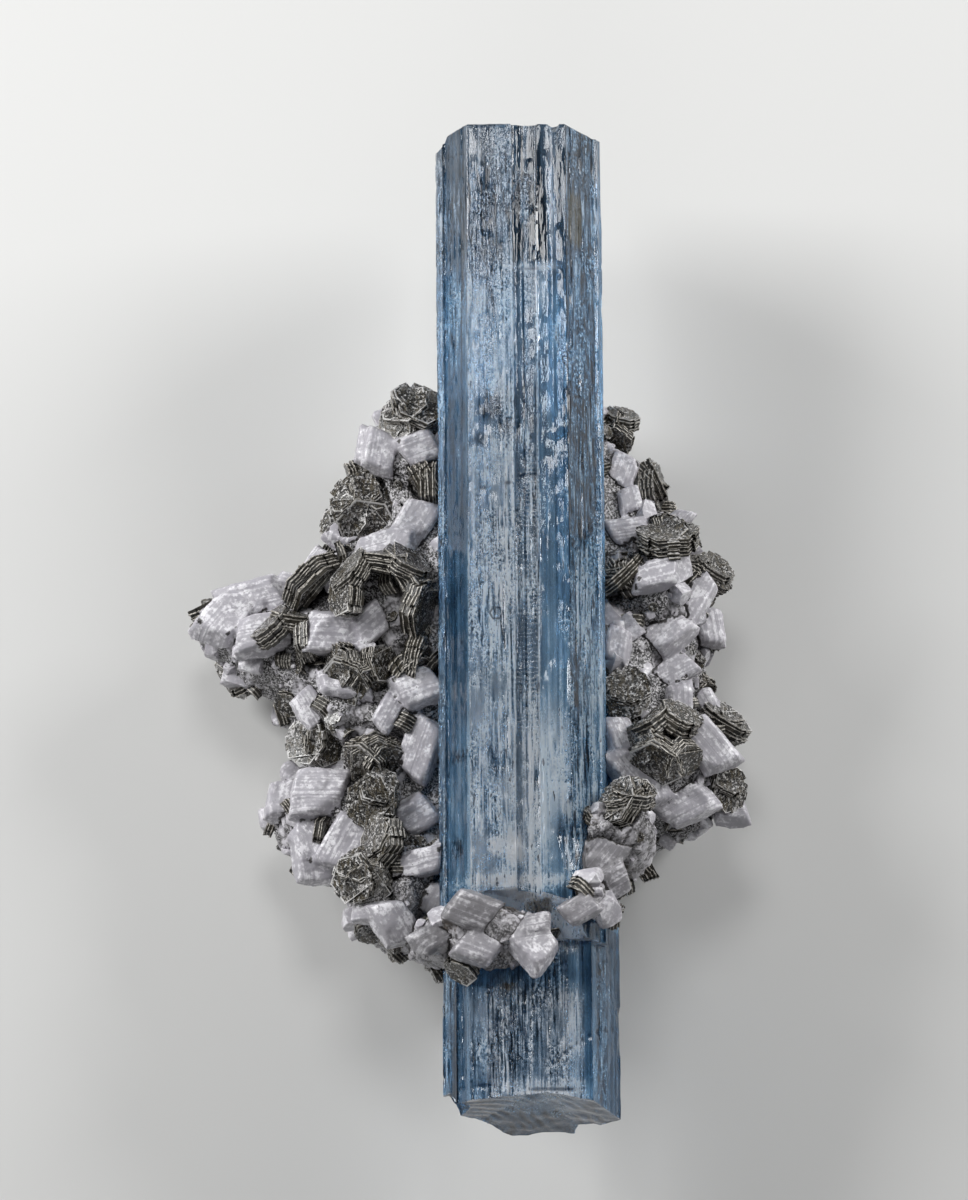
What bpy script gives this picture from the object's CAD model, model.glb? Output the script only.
"""Aquamarine crystal on its matrix of albite and muscovite mica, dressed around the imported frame.

Millimetres are multiplied by MM. X and Y are measured from the aquamarine's axis and from
the middle of its length, as in the frame: +Y runs to its flat end, and +Z points up.
"""

import math
import random

import bmesh
import bpy
import numpy as np
from mathutils import Euler, Matrix, Vector, noise
from mathutils.bvhtree import BVHTree
from mathutils.kdtree import KDTree


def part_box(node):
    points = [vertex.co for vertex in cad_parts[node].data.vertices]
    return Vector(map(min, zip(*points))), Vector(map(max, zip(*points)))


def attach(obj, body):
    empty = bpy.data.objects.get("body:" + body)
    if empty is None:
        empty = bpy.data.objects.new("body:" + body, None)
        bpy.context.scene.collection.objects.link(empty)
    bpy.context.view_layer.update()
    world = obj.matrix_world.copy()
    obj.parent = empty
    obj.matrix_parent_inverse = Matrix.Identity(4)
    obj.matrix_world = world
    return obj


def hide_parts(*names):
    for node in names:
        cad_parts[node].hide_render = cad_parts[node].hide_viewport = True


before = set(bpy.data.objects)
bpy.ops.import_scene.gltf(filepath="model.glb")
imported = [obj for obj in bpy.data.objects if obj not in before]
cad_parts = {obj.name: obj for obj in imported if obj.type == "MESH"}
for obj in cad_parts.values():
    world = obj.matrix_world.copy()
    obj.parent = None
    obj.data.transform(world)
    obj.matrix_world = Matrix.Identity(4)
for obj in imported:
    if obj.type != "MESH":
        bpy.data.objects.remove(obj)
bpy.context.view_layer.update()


# ---------------------------------------------------------------------------------------
# The aquamarine. A beryl prism grown in two parallel layers: clear to milky pale blue glass
# with lengthwise growth ledges, fine striations, etched bands and healed cracks. It grew
# through the matrix and is held by it. Both lower ends are old breaks.

MM = 0.001
FLAT_END = 60.0
LEFT_EDGE = -10.1
FRONT_LAYER_END = -34.5
AXIS_HEIGHT = 25.0
REAR_SHIFT = 0.8
REAR_SET_BACK = 4.5

crystal_low, crystal_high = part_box("aquamarine_crystal")
AXIS = Vector((crystal_low.x - LEFT_EDGE * MM, crystal_high.y - FLAT_END * MM, 0))

SAME_POINT = 0.002 * MM
FLAT_WITHIN = math.radians(0.4)
# How fine the skin is cut before its relief is pressed in: along X, Y and Z.
SKIN_STEPS = (0.27, 0.55, 0.42)

# Growth bands of the front layer, from left to right: where each ends, its tone from dark
# to frosted, depth of blue, liveliness of its grain, dark specks, etched ladder ticks, and
# how bright the ledge at its end is.
FRONT_BANDS = (
    (-9.15, 0.46, 0.60, 0.90, 0.10, 0.0, -0.10), (-6.50, 0.31, 0.95, 0.12, 0.02, 0.0, 0.14),
    (-0.80, 0.52, 0.50, 0.80, 0.02, 0.0, 0.20), (0.55, 0.38, 0.50, 0.60, 0.08, 0.4, -0.16),
    (2.10, 0.46, 0.50, 0.90, 0.10, 1.0, 0.24), (4.40, 0.42, 0.75, 0.25, 0.00, 0.0, -0.08),
    (5.90, 0.41, 0.85, 0.50, 0.03, 0.0, -0.20), (8.60, 0.36, 1.10, 1.45, 0.12, 0.0, 0.18),
    (9.50, 0.38, 1.10, 1.20, 0.12, 0.0, 0.10), (99.0, 0.50, 0.85, 0.40, 0.00, 0.0, 0.0),
)  # fmt: skip
# The same on the length below the rim.
LOWER_BANDS = (
    (-8.60, 0.42, 0.80, 0.90, 0.16, 0.0, -0.10), (-7.70, 0.20, 0.80, 0.80, 0.45, 0.0, 0.20),
    (-6.70, 0.36, 0.75, 0.15, 0.00, 0.0, 0.16), (-4.60, 0.46, 0.55, 0.80, 0.10, 0.0, 0.0),
    (5.20, 0.47, 0.20, 1.10, 0.22, 0.0, 0.0), (7.00, 0.52, 0.45, 0.70, 0.06, 0.0, -0.16),
    (8.60, 0.35, 0.85, 0.20, 0.02, 0.0, 0.10), (9.70, 0.36, 0.85, 0.90, 0.30, 0.0, 0.0),
    (99.0, 0.30, 1.10, 0.45, 0.05, 0.0, 0.0),
)  # fmt: skip
LEDGE_HALF_WIDTH = 0.16
FLAT_END_LOOK = (0.36, 0.45, 0.60, 0.05, 0.0)
FRONT_BREAK_LOOK = (0.90, 0.15, 0.95, 0.04, 0.0)
BASE_BREAK_LOOK = (0.28, 1.20, 0.40, 0.00, 0.0)
LADDER_REACH = (-16.0, 17.5)  # how far along the prism the ladder ticks run
BREAK_REACH = 6.5  # how far along the prism the front layer's sloping break runs
OVERHANG = 3.5  # how far below the break's place the front layer's bands still run
BACK_BAND = 1.9  # usual width of the bands on the back
BACK_LOOK = ((0.24, 0.50), (0.3, 0.9), (0.4, 1.0), (0.0, 0.2))  # lowest and highest of each value
PATCH_DEPTH = 6  # how far below the axis the patches reach
CRACK_HALF_WIDTH = 0.16
# Shell-like ribs on the breaks, in rings round the place where the blow fell.
RIB_MIDDLE = Vector((-12.0, -60.0, 13.0))
RIB_SPACING = 1.5
RIB_HEIGHT = 0.05
RIB_TONE = 0.14

# Patches of the front: x, y, half sizes, and what each adds to tone, blue, liveliness,
# dark specks and rust.
PATCHES = (
    (-0.4, 51.5, 10.5, 9.8, -0.16, -0.80, 0.0, 0.0, 0.0),
    (-2.4, -23.0, 7.0, 11.5, 0.15, -0.10, 0.2, 0.0, 0.0),
    (-3.2, 6.0, 3.0, 16.0, 0.09, -0.10, 0.1, 0.0, 0.0),
    (-3.4, 47.5, 2.6, 7.4, -0.10, -0.20, 0.3, 0.14, 0.0),
    (-4.0, 56.9, 4.0, 2.0, 0.14, 0.0, 0.0, 0.0, 0.0),
    (-0.2, 46.5, 0.7, 5.5, -0.16, 0.0, 0.0, 0.0, 0.0),
    (0.8, 50.8, 1.6, 3.2, 0.06, 0.0, 0.6, 0.0, 0.0),
    (1.9, 51.0, 1.0, 7.5, -0.16, 0.0, -0.6, 0.0, 0.0),
    (3.9, 52.0, 0.45, 9.0, 0.30, 0.0, 0.0, 0.0, 0.0),
    (2.5, 47.0, 1.2, 5.0, -0.16, -0.3, -0.4, 0.0, 0.0),
    (6.9, 48.4, 0.9, 3.8, 0.0, -0.2, 0.3, 0.10, 1.0),
    (8.4, 48.5, 1.0, 3.5, 0.06, 0.0, 0.4, 0.0, 0.0),
    (1.5, 41.9, 3.4, 0.5, 0.36, 0.0, 0.3, 0.0, 0.0),
    (2.1, 39.2, 1.2, 2.6, 0.18, -0.1, 0.2, 0.0, 0.0),
    (-4.6, 37.5, 2.6, 3.4, 0.05, -0.1, 0.2, 0.0, 0.0),
    (-3.6, 30.0, 3.2, 5.2, 0.09, -0.1, 0.1, 0.0, 0.0),
    (-7.7, 44.0, 1.3, 15.0, 0.09, -0.1, 0.8, 0.06, 0.0),
    (-3.6, 24.3, 1.6, 1.6, -0.24, -0.3, 0.2, 0.12, 0.20),
    (-5.0, 20.2, 1.1, 0.7, -0.24, -0.3, 0.0, 0.06, 0.20),
    (-1.6, 21.5, 0.9, 1.4, -0.20, -0.3, 0.0, 0.06, 0.16),
    (-3.4, 18.0, 3.0, 3.4, 0.04, 0.0, -0.2, 0.0, 0.0),
    (-2.6, 13.0, 2.0, 1.8, -0.05, 0.0, -0.5, 0.0, 0.0),
    (-2.8, 4.5, 2.4, 7.0, 0.06, 0.0, 0.8, 0.0, 0.0),
    (1.5, 6.0, 0.9, 8.0, 0.06, 0.0, 0.5, 0.0, 0.0),
    (7.6, 21.0, 2.3, 11.0, -0.08, 0.5, 0.6, 0.04, 0.0),
    (-2.0, -21.0, 6.0, 12.0, -0.03, 0.0, -0.15, 0.02, 0.0),
    (8.2, 2.0, 1.6, 8.0, 0.14, -0.2, 0.4, 0.05, 0.0),
    (7.3, 0.5, 0.8, 6.5, 0.22, -0.1, 0.3, -0.1, 0.0),
    (9.0, -13.0, 0.9, 8.0, 0.24, -0.1, -0.4, -0.1, 0.0),
    (4.2, -6.0, 1.8, 6.0, 0.08, 0.0, 0.0, 0.0, 0.0),
    (-7.6, -18.4, 1.3, 0.9, -0.10, 0.2, 0.8, 0.42, 0.0),
    (-8.0, -29.5, 0.8, 1.4, -0.10, 0.2, 0.8, 0.42, 0.0),
    (-2.8, -19.3, 1.9, 2.0, -0.18, 0.1, 0.5, 0.30, 0.0),
    (-3.3, -29.8, 0.9, 1.1, 0.42, -0.2, 0.2, -0.1, 0.0),
    (-1.1, -30.0, 1.0, 2.0, 0.42, -0.2, 0.2, -0.1, 0.0),
    (1.6, -23.0, 1.9, 11.0, 0.25, -0.1, 0.2, -0.05, 0.0),
    (5.6, -19.0, 2.4, 7.0, 0.25, -0.20, 0.35, -0.02, 0.0),
    (7.0, -28.0, 2.8, 5.4, 0.23, -0.2, 0.30, -0.04, 0.0),
    (5.2, -28.5, 1.2, 2.8, -0.14, 0.1, 0.4, 0.26, 0.0),
    (-1.0, -34.0, 8.0, 0.8, 0.30, -0.2, 0.5, 0.0, 0.0),
    (1.7, -37.0, 1.7, 1.1, -0.30, -0.2, 0.4, 0.12, 0.9),
    (0.0, -44.0, 8.0, 2.4, -0.12, 0.5, -0.2, 0.0, 0.0),
    (-0.6, -51.0, 4.2, 5.4, -0.02, -0.2, 0.3, 0.10, 0.05),
    (5.4, -50.5, 1.8, 4.0, 0.16, -0.1, 0.2, -0.1, 0.0),
    (-5.6, -50.5, 1.5, 4.6, 0.12, -0.1, 0.2, -0.1, 0.0),
    (-2.0, -46.0, 1.2, 0.7, 0.10, 0.0, 0.0, 0.10, 0.6),
    (2.6, -58.4, 5.6, 1.2, 0.26, -0.1, 0.2, 0.0, 0.0),
)  # fmt: skip

# Healed cracks: a point of each, the tilt of its line, how far it runs, and its depth.
CRACKS = (
    ((6.8, -52.6), 33.0, 5.6, 0.20), ((0.6, -58.2), -3.0, 9.0, 0.14),
    ((-2.6, 14.6), 12.0, 3.2, 0.12), ((1.0, 15.9), 4.0, 1.6, 0.08),
    ((1.6, -45.2), 38.0, 3.6, 0.08), ((-1.2, -49.6), 28.0, 4.4, 0.10),
    ((1.4, 41.9), 0.0, 3.0, 0.08), ((-7.6, -4.8), 38.0, 1.6, 0.06),
)  # fmt: skip


def merged_copy(node):
    """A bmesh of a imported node's mesh, with its loose triangles joined into one skin."""
    skin = bmesh.new()
    skin.from_mesh(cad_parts[node].data)
    bmesh.ops.remove_doubles(skin, verts=skin.verts, dist=SAME_POINT)
    return skin


def slice_skin(skin, axis, step):
    """Cuts a skin across one axis at even steps, for its relief to follow."""
    normal = Vector((axis == 0, axis == 1, axis == 2))
    places = [vert.co[axis] for vert in skin.verts]
    place = min(places) + step / 2
    while place < max(places):
        everything = skin.verts[:] + skin.edges[:] + skin.faces[:]
        bmesh.ops.bisect_plane(
            skin, geom=everything, dist=1e-7, plane_co=normal * place, plane_no=normal
        )
        place += step


def step_between(low, high, value):
    """0 below low, 1 above high, and a smooth slope between."""
    share = min(1.0, max(0.0, (value - low) / (high - low)))
    return share * share * (3 - 2 * share)


def band_of(place, normal):
    """The look of a face of the aquamarine: tone, blue, liveliness, specks, ladder ticks."""
    if place.y > FLAT_END - 1 and normal.y > 0.6:
        return FLAT_END_LOOK
    if place.y < FRONT_LAYER_END - 20 and normal.y < -0.5:
        tone, *rest = BASE_BREAK_LOOK
        return (tone + RIB_TONE * rib_share(place), *rest)
    if abs(place.y - FRONT_LAYER_END) < BREAK_REACH and normal.y < -0.35 and place.z > AXIS_HEIGHT:
        return FRONT_BREAK_LOOK
    if normal.z < -0.1:
        draw = random.Random(math.floor((place.x + 0.35 * place.z) / BACK_BAND))
        return (*(draw.uniform(*reach) for reach in BACK_LOOK), 0.0)
    bands = FRONT_BANDS if place.y > FRONT_LAYER_END - OVERHANG else LOWER_BANDS
    end, tone, *rest, ladder, ledge = next(band for band in bands if place.x < band[0])
    if end - place.x < 2 * LEDGE_HALF_WIDTH:
        tone += ledge
    if not LADDER_REACH[0] < place.y < LADDER_REACH[1]:
        ladder = 0.0
    return (tone, *rest, ladder)


def patch_at(place):
    """What the patches add at a place on the front: tone, blue, liveliness, specks, rust."""
    sums = [0.0] * 5
    if place.z > AXIS_HEIGHT - PATCH_DEPTH:
        for x, y, half_x, half_y, *adds in PATCHES:
            off = ((place.x - x) / half_x) ** 4 + ((place.y - y) / half_y) ** 4
            if off < 6:
                share = math.exp(-off)
                sums = [total + share * add for total, add in zip(sums, adds)]
    return sums


def rib_share(place):
    """How high a shell-like rib of the breaks stands here, -1 to 1."""
    reach = (place - RIB_MIDDLE).length + 0.8 * noise.noise(place * 0.25)
    return math.sin(reach * math.tau / RIB_SPACING) * step_between(-0.25, 0.15, noise.noise(place * 0.3))


def beryl_relief(place, normal):
    """Height of the aquamarine's skin above its flat faces, in mm."""
    if abs(normal.y) > 0.6:
        ripple = noise.noise(place * 0.5) * 0.12 + noise.noise(place * 2.1) * 0.03
        return ripple + rib_share(place) * RIB_HEIGHT - 0.05
    along = Vector((place.x, place.y * 0.018, place.z))
    ledges = noise.noise(along * 0.9 + Vector((0, place.y * 0.01, 3.1)))
    stripes = noise.noise(along * 2.6)
    fine = noise.noise(Vector((place.x * 6, place.y * 0.35, place.z * 6)))
    pits = noise.noise(place * 0.9 + Vector((7.0, 0, 0)))
    height = 0.10 * (step_between(0.02, 0.10, ledges) - 0.5)
    height += 0.06 * (step_between(-0.06, 0.06, stripes) - 0.5)
    height += 0.03 * fine
    height -= 0.10 * step_between(0.30, 0.46, pits)
    return height - 0.05


def crack_share(place):
    """How deep a healed crack runs here, 0 to 1, and its depth in mm."""
    deepest = (0.0, 0.0)
    if place.z > AXIS_HEIGHT - 2:
        for (x, y), tilt, half_length, depth in CRACKS:
            angle = math.radians(tilt)
            along = (place.x - x) * math.cos(angle) + (place.y - y) * math.sin(angle)
            wave = 0.35 * noise.noise(Vector((along * 0.5, x, y)))
            across = (place.y - y) * math.cos(angle) - (place.x - x) * math.sin(angle) - wave
            share = math.exp(-((across / CRACK_HALF_WIDTH) ** 2))
            share *= step_between(0, 0.8, half_length - abs(along))
            deepest = max(deepest, (share, depth))
    return deepest


def finish_skin(name, skin, material, smooth):
    """An object made of a finished bmesh, at the origin. Edges sharper than smooth stay sharp."""
    mesh = bpy.data.meshes.new(name)
    skin.to_mesh(mesh)
    skin.free()
    piece = bpy.data.objects.new(name, mesh)
    bpy.context.scene.collection.objects.link(piece)
    mesh.materials.append(material)
    mesh.shade_smooth()
    if smooth < 180:
        mesh.set_sharp_from_angle(angle=math.radians(smooth))
    return piece


def hand_over(piece, slot, *nodes):
    """Lets a piece ride with the rock, take its finish from a slot and stand for CAD nodes."""
    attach(piece, "root")
    if nodes:
        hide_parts(*nodes)


class Signal:
    """A number or colour inside a shader. Signals add, subtract and multiply."""

    def __init__(self, socket):
        self.socket = socket
        self.tree = socket.id_data

    def math(self, operation, *others):
        return from_node(self.tree, "Math", (self, *others), operation=operation)

    def __add__(self, other):
        return self.math("ADD", other)

    def __sub__(self, other):
        return self.math("SUBTRACT", other)

    def __mul__(self, other):
        return self.math("MULTIPLY", other)

    def between(self, low, high):
        """0 below low, 1 above high, and a smooth slope between."""
        slope = {"interpolation_type": "SMOOTHSTEP"}
        return from_node(self.tree, "MapRange", (self, low, high), **slope)


def join(tree, value, socket):
    """Sets a socket to a value, or links a signal to it."""
    if isinstance(value, Signal):
        tree.links.new(value.socket, socket)
    else:
        socket.default_value = value


def from_node(tree, kind, values, output=0, **settings):
    """An output of a new node. Its sockets take the values, in order or by their names."""
    node = tree.nodes.new(f"ShaderNode{kind}")
    for name, value in settings.items():
        setattr(node, name, value)
    for socket, value in values.items() if isinstance(values, dict) else enumerate(values):
        join(tree, value, node.inputs[socket])
    return Signal(node.outputs[output])


def blend_colours(share, below, above):
    """The colour below, covered by the colour above where share is 1."""
    node = share.tree.nodes.new("ShaderNodeMix")
    node.data_type = "RGBA"
    for name, value in (("Factor_Float", share), ("A_Color", below), ("B_Color", above)):
        socket = next(s for s in node.inputs if s.identifier == name)
        if isinstance(value, tuple):
            value = (*value, 1.0)
        join(share.tree, value, socket)
    return Signal(next(s for s in node.outputs if s.identifier == "Result_Color"))


def attribute(tree, name):
    """A value that was stored on the piece's mesh."""
    return from_node(tree, "Attribute", (), "Fac", attribute_name=name)


def group_node(tree, group, **values):
    """A node group placed in a material with its own values. Gives its outputs by name."""
    node = tree.nodes.new("ShaderNodeGroup")
    node.node_tree = group
    for name, value in values.items():
        join(tree, value, node.inputs[name])
    return {socket.name: Signal(socket) for socket in node.outputs}


def new_group(name, inputs, outputs):
    """A new node group, the signals that enter it, and the node that its outputs link to."""
    group = bpy.data.node_groups.new(name, "ShaderNodeTree")
    for label, kind, value in inputs:
        socket = group.interface.new_socket(label, in_out="INPUT", socket_type=kind)
        socket.default_value = value
    for label in outputs:
        group.interface.new_socket(label, in_out="OUTPUT", socket_type="NodeSocketFloat")
    start = group.nodes.new("NodeGroupInput")
    end = group.nodes.new("NodeGroupOutput")
    return group, {s.name: Signal(s) for s in start.outputs if s.name}, end


# Noise on a piece's own coordinates, Size metres across, drawn out where Stretch is low.
drawn_out, into, out_of = new_group(
    "drawn-out noise",
    [
        ("Size", "NodeSocketFloat", 1.0 * MM),
        ("Stretch", "NodeSocketVector", (1.0, 1.0, 1.0)),
        ("Seed", "NodeSocketFloat", 0.0),
    ],
    ["Height"],
)
place = from_node(drawn_out, "TexCoord", (), "Object")
place = from_node(drawn_out, "VectorMath", (place, into["Stretch"]), operation="MULTIPLY")
inverse = from_node(drawn_out, "Math", (1.0, into["Size"]), operation="DIVIDE")
place = from_node(drawn_out, "VectorMath", {0: place, "Scale": inverse}, operation="SCALE")
look = {"Vector": place, "W": into["Seed"], "Scale": 1.0, "Detail": 2.0, "Roughness": 0.55}
raw = from_node(drawn_out, "TexNoise", look, noise_dimensions="4D")
join(drawn_out, raw, out_of.inputs["Height"])


def stretched_noise(tree, size, stretch, seed):
    """The drawn-out noise placed in a tree."""
    return group_node(tree, drawn_out, Size=size, Stretch=stretch, Seed=seed)["Height"]


# Specks that cover a share of a surface.
specks, into, out_of = new_group(
    "mineral specks",
    [
        ("Size", "NodeSocketFloat", 0.3 * MM),
        ("Stretch", "NodeSocketVector", (1.0, 1.0, 1.0)),
        ("Share", "NodeSocketFloat", 0.3),
        ("Softness", "NodeSocketFloat", 0.04),
        ("Seed", "NodeSocketFloat", 0.0),
    ],
    ["Mask", "Height"],
)
raw = stretched_noise(specks, into["Size"], into["Stretch"], into["Seed"])
edge = into["Share"] * -0.46 + 0.73
mask = raw.between(edge - into["Softness"], edge + into["Softness"])
join(specks, mask, out_of.inputs["Mask"])
join(specks, raw, out_of.inputs["Height"])

# The grains of its skin, from clouds to single strokes and sparks: size in mm, how each is
# drawn out lengthwise and down the sloping sides, and its seed.
BERYL_GRAINS = {
    "cloud": (3.4, (1.0, 0.45, 0.6), 2.0), "drift": (1.1, (1.0, 0.35, 0.5), 5.0),
    "wisps": (0.45, (1.0, 0.22, 0.4), 6.0), "veins": (1.0, (1.0, 0.010, 0.4), 3.0),
    "lines": (0.30, (1.0, 0.010, 0.4), 4.0), "strokes": (0.24, (1.0, 0.06, 0.4), 7.0),
    "grain": (0.26, (1.0, 0.60, 0.5), 9.0), "sparks": (0.17, (1.0, 0.60, 0.5), 11.0),
    "frosty": (1.6, (1.0, 0.30, 0.5), 13.0), "scratch": (0.17, (1.0, 0.010, 0.4), 15.0),
}  # fmt: skip
BERYL_SHADER = {
    "Metallic": 0.0, "IOR": 1.57, "Transmission Weight": 0.68, "Specular IOR Level": 0.25,
}  # fmt: skip
BERYL_ABSORBS = {"Color": (0.40, 0.66, 0.84, 1.0), "Density": 42.0}
BERYL_MIDDLE = 0.33
BERYL_CONTRAST = 1.55
# From the darkest glass to frost, for tones from 0 to 1.
BERYL_TONES = (
    (0.00, (0.008, 0.013, 0.020)), (0.22, (0.050, 0.085, 0.125)), (0.42, (0.170, 0.225, 0.290)),
    (0.66, (0.400, 0.475, 0.560)), (0.95, (0.700, 0.780, 0.860)), (1.00, (0.900, 0.940, 0.980)),
)  # fmt: skip
BERYL_BLUE_TINT = (0.60, 0.96, 1.22)
BERYL_GREY_TINT = (1.02, 1.00, 1.00)
BERYL_DARK = (0.002, 0.022, 0.060)
BERYL_RUST = (0.10, 0.066, 0.022)
LADDER_TICKS = {"Scale": 0.52 / MM, "Distortion": 7.0, "Detail": 2.0, "Detail Scale": 2.0}
ETCH_PIT = (-3.1, -1.35, 0.68)  # x, y and half size of a six-sided etch pit's dark outline


def ramp(share, stops):
    """Colours along a share from 0 to 1."""
    node = share.tree.nodes.new("ShaderNodeValToRGB")
    for _ in stops[2:]:
        node.color_ramp.elements.new(0.5)
    for element, (place, colour) in zip(node.color_ramp.elements, stops):
        element.position = place
        element.color = (*colour, 1.0)
    share.tree.links.new(share.socket, node.inputs["Fac"])
    return Signal(node.outputs["Color"])


def multiplied(colour, tint):
    """One colour times another."""
    return from_node(colour.tree, "VectorMath", (colour, tint), operation="MULTIPLY")


def new_material(name, values):
    """A material with plain values on its shader; also its node tree and its shader."""
    made = bpy.data.materials.new(name)
    made.use_nodes = True
    shader = made.node_tree.nodes["Principled BSDF"]
    for label, value in values.items():
        shader.inputs[label].default_value = value
    return made, made.node_tree, shader


def dress(shader, colour, rough, height, strength, distance):
    """Links a colour, a roughness and a relief to a shader."""
    relief = {"Height": height, "Strength": strength, "Distance": distance}
    normal = from_node(colour.tree, "Bump", relief)
    for name, value in (("Base Color", colour), ("Roughness", rough), ("Normal", normal)):
        join(colour.tree, value, shader.inputs[name])


def beryl_material():
    """Blue glass, etched and veiled lengthwise, flecked with frost and dark pits."""
    made, tree, shader = new_material("aquamarine", BERYL_SHADER)

    tone = attribute(tree, "tone") + attribute(tree, "tone_patch")
    blue = attribute(tree, "blue") + attribute(tree, "blue_patch")
    lively = attribute(tree, "lively") + attribute(tree, "lively_patch")
    dark = attribute(tree, "dark") + attribute(tree, "dark_patch")
    cloud, drift, wisps, veins, lines, strokes, grain, sparks, frosty, scratch = (
        (stretched_noise(tree, size * MM, stretch, seed) - 0.5) * 2.0
        for size, stretch, seed in BERYL_GRAINS.values()
    )

    stir = (lively + cloud * 1.5 + drift * 0.5).between(0.30, 1.35)
    frosty = frosty.between(-0.35, 0.45)
    streaky = frosty * -1.0 + 1.0
    texture = lines * (stir * 0.40 + 0.16) + strokes * (stir * streaky * 1.4 + 0.04)
    texture = texture + grain * (stir * frosty * 1.3 + 0.05) + sparks * stir * 0.3
    level = tone + veins * 0.18 + cloud * 0.16 + drift * (stir * 0.26 + 0.08)
    level = level + wisps * (stir * 0.24 + 0.05) + texture
    scratch = scratch.between(0.34, 0.50)
    glint = (strokes + sparks * 0.8 + wisps * 0.6).between(0.46, 0.74) * stir
    level = (level - BERYL_MIDDLE) * BERYL_CONTRAST + BERYL_MIDDLE + glint * 0.45 + scratch * 0.30

    tone_colour = ramp(level, BERYL_TONES)
    blueness = (blue + cloud * 0.4 + drift * 0.25).between(0.0, 1.0)
    tint = blend_colours(blueness, BERYL_GREY_TINT, BERYL_BLUE_TINT)
    paleness = level.between(0.55, 1.0)
    tint = blend_colours(paleness * 0.55, tint, (1.0, 1.0, 1.0))
    colour = multiplied(tone_colour, tint)

    place = from_node(tree, "TexCoord", (), "Object")
    ticks = from_node(tree, "TexWave", {"Vector": place, **LADDER_TICKS}, "Fac", bands_direction="Y")
    ladder = attribute(tree, "ladder")
    rungs = (ticks + drift * 0.8 + cloud * 0.6).between(0.52, 0.86) * ladder
    colour = blend_colours(rungs * 0.55, colour, BERYL_TONES[-2][1])

    pit_share = (dark + drift * 0.4 + cloud * 0.4).between(0.08, 0.9)
    pit_noise = strokes * 0.35 + grain * 0.35 + wisps * 0.9 + drift * 0.45
    pits = (pit_noise * 1.5 + pit_share * 0.75).between(0.52, 0.66)
    colour = blend_colours(pits * 0.92, colour, BERYL_DARK)
    rust = (attribute(tree, "rust") * (drift * 0.9 + grain * 0.8 + 1.0)).between(0.30, 0.80)
    colour = blend_colours(rust * 0.75, colour, BERYL_RUST)

    pit_x, pit_y, pit_size = ETCH_PIT
    pit = AXIS + Vector((pit_x, pit_y, 0)) * MM
    from_pit = from_node(tree, "VectorMath", (place, pit), operation="SUBTRACT")
    across, along = (
        from_node(tree, "SeparateXYZ", (from_pit,), axis).math("ABSOLUTE") for axis in "XY"
    )
    reach = (across * 0.866 + along * 0.5).math("MAXIMUM", along) + grain * 0.05 * MM
    outline = (reach - pit_size * MM).math("ABSOLUTE").between(0.16 * MM, 0.06 * MM)
    colour = blend_colours(outline * 0.9, colour, BERYL_DARK)

    crack = attribute(tree, "crack").between(0.25, 0.8)
    colour = blend_colours(crack * 0.8, colour, BERYL_DARK)

    rough = level.between(0.4, 1.0) * 0.30 + 0.06
    height = texture * 1.1 + wisps * 0.5 + glint * 0.4 + drift * 0.4 + rungs * 0.5 - pits * 0.35
    dress(shader, colour, rough, height, 0.30, 0.16 * MM)

    absorbing = from_node(tree, "VolumeAbsorption", BERYL_ABSORBS)
    join(tree, absorbing, tree.nodes["Material Output"].inputs["Volume"])
    return made


crystal_skin = merged_copy("aquamarine_crystal")
bmesh.ops.dissolve_limit(
    crystal_skin, angle_limit=FLAT_WITHIN, verts=crystal_skin.verts, edges=crystal_skin.edges
)
for axis in (1, 0, 2):
    slice_skin(crystal_skin, axis, SKIN_STEPS[axis] * MM)

looks = ("tone", "blue", "lively", "dark", "ladder")
face_layers = [crystal_skin.faces.layers.float.new(name) for name in looks]
for face in crystal_skin.faces:
    place = (face.calc_center_median() - AXIS) / MM
    for layer, value in zip(face_layers, band_of(place, face.normal)):
        face[layer] = value
looks = ("tone_patch", "blue_patch", "lively_patch", "dark_patch", "rust")
patch_layers = [crystal_skin.verts.layers.float.new(name) for name in looks]
crack_layer = crystal_skin.verts.layers.float.new("crack")
moves = []
for vert in crystal_skin.verts:
    place = (vert.co - AXIS) / MM
    for layer, value in zip(patch_layers, patch_at(place)):
        vert[layer] = value
    share, depth = crack_share(place)
    vert[crack_layer] = share
    moves.append(vert.normal * (beryl_relief(place, vert.normal) - share * depth) * MM)
for vert, move in zip(crystal_skin.verts, moves):
    vert.co += move

aquamarine = finish_skin("aquamarine", crystal_skin, beryl_material(), 28)
hand_over(aquamarine, "aquamarine", "aquamarine_crystal")


# ---------------------------------------------------------------------------------------
# The groundmass of the matrix. Sugary white albite, its grains grown together round the
# aquamarine, peppered with crushed mica and stained brown in its hollows.

GRAIN_MESH = 0.44 * MM
CLEARANCE = 0.12
# The outer corners of the aquamarine's two layers, across its axis: x, height above the axis.
LAYER_CORNERS = (
    ((-10.1, 2.6), (-6.3, 8.9), (5.7, 8.8), (10.1, 1.4), (3.7, -8.9), (-3.8, -8.6)),
    ((-10.6, 4.0), (-7.0, 9.0), (7.2, 8.5), (10.6, 0.7), (4.4, -9.0), (-3.1, -8.9)),
)
LAYER_PLACES = (
    # lowest y, highest y, x and height of the layer's axis
    (FRONT_LAYER_END - 6.0, FLAT_END, 0.0, AXIS_HEIGHT),
    (-60.0, -6.0, REAR_SHIFT, AXIS_HEIGHT - REAR_SET_BACK),
)
LAYER_REACH_SQUARED = 130  # no corner of a layer is farther from its axis than its root
# The hollow that the front layer's break follows: the middle of its ball, and its radius.
BREAK_BALL = (Vector((-1.5, -56.8, 53.97)), 30.0)


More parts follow.
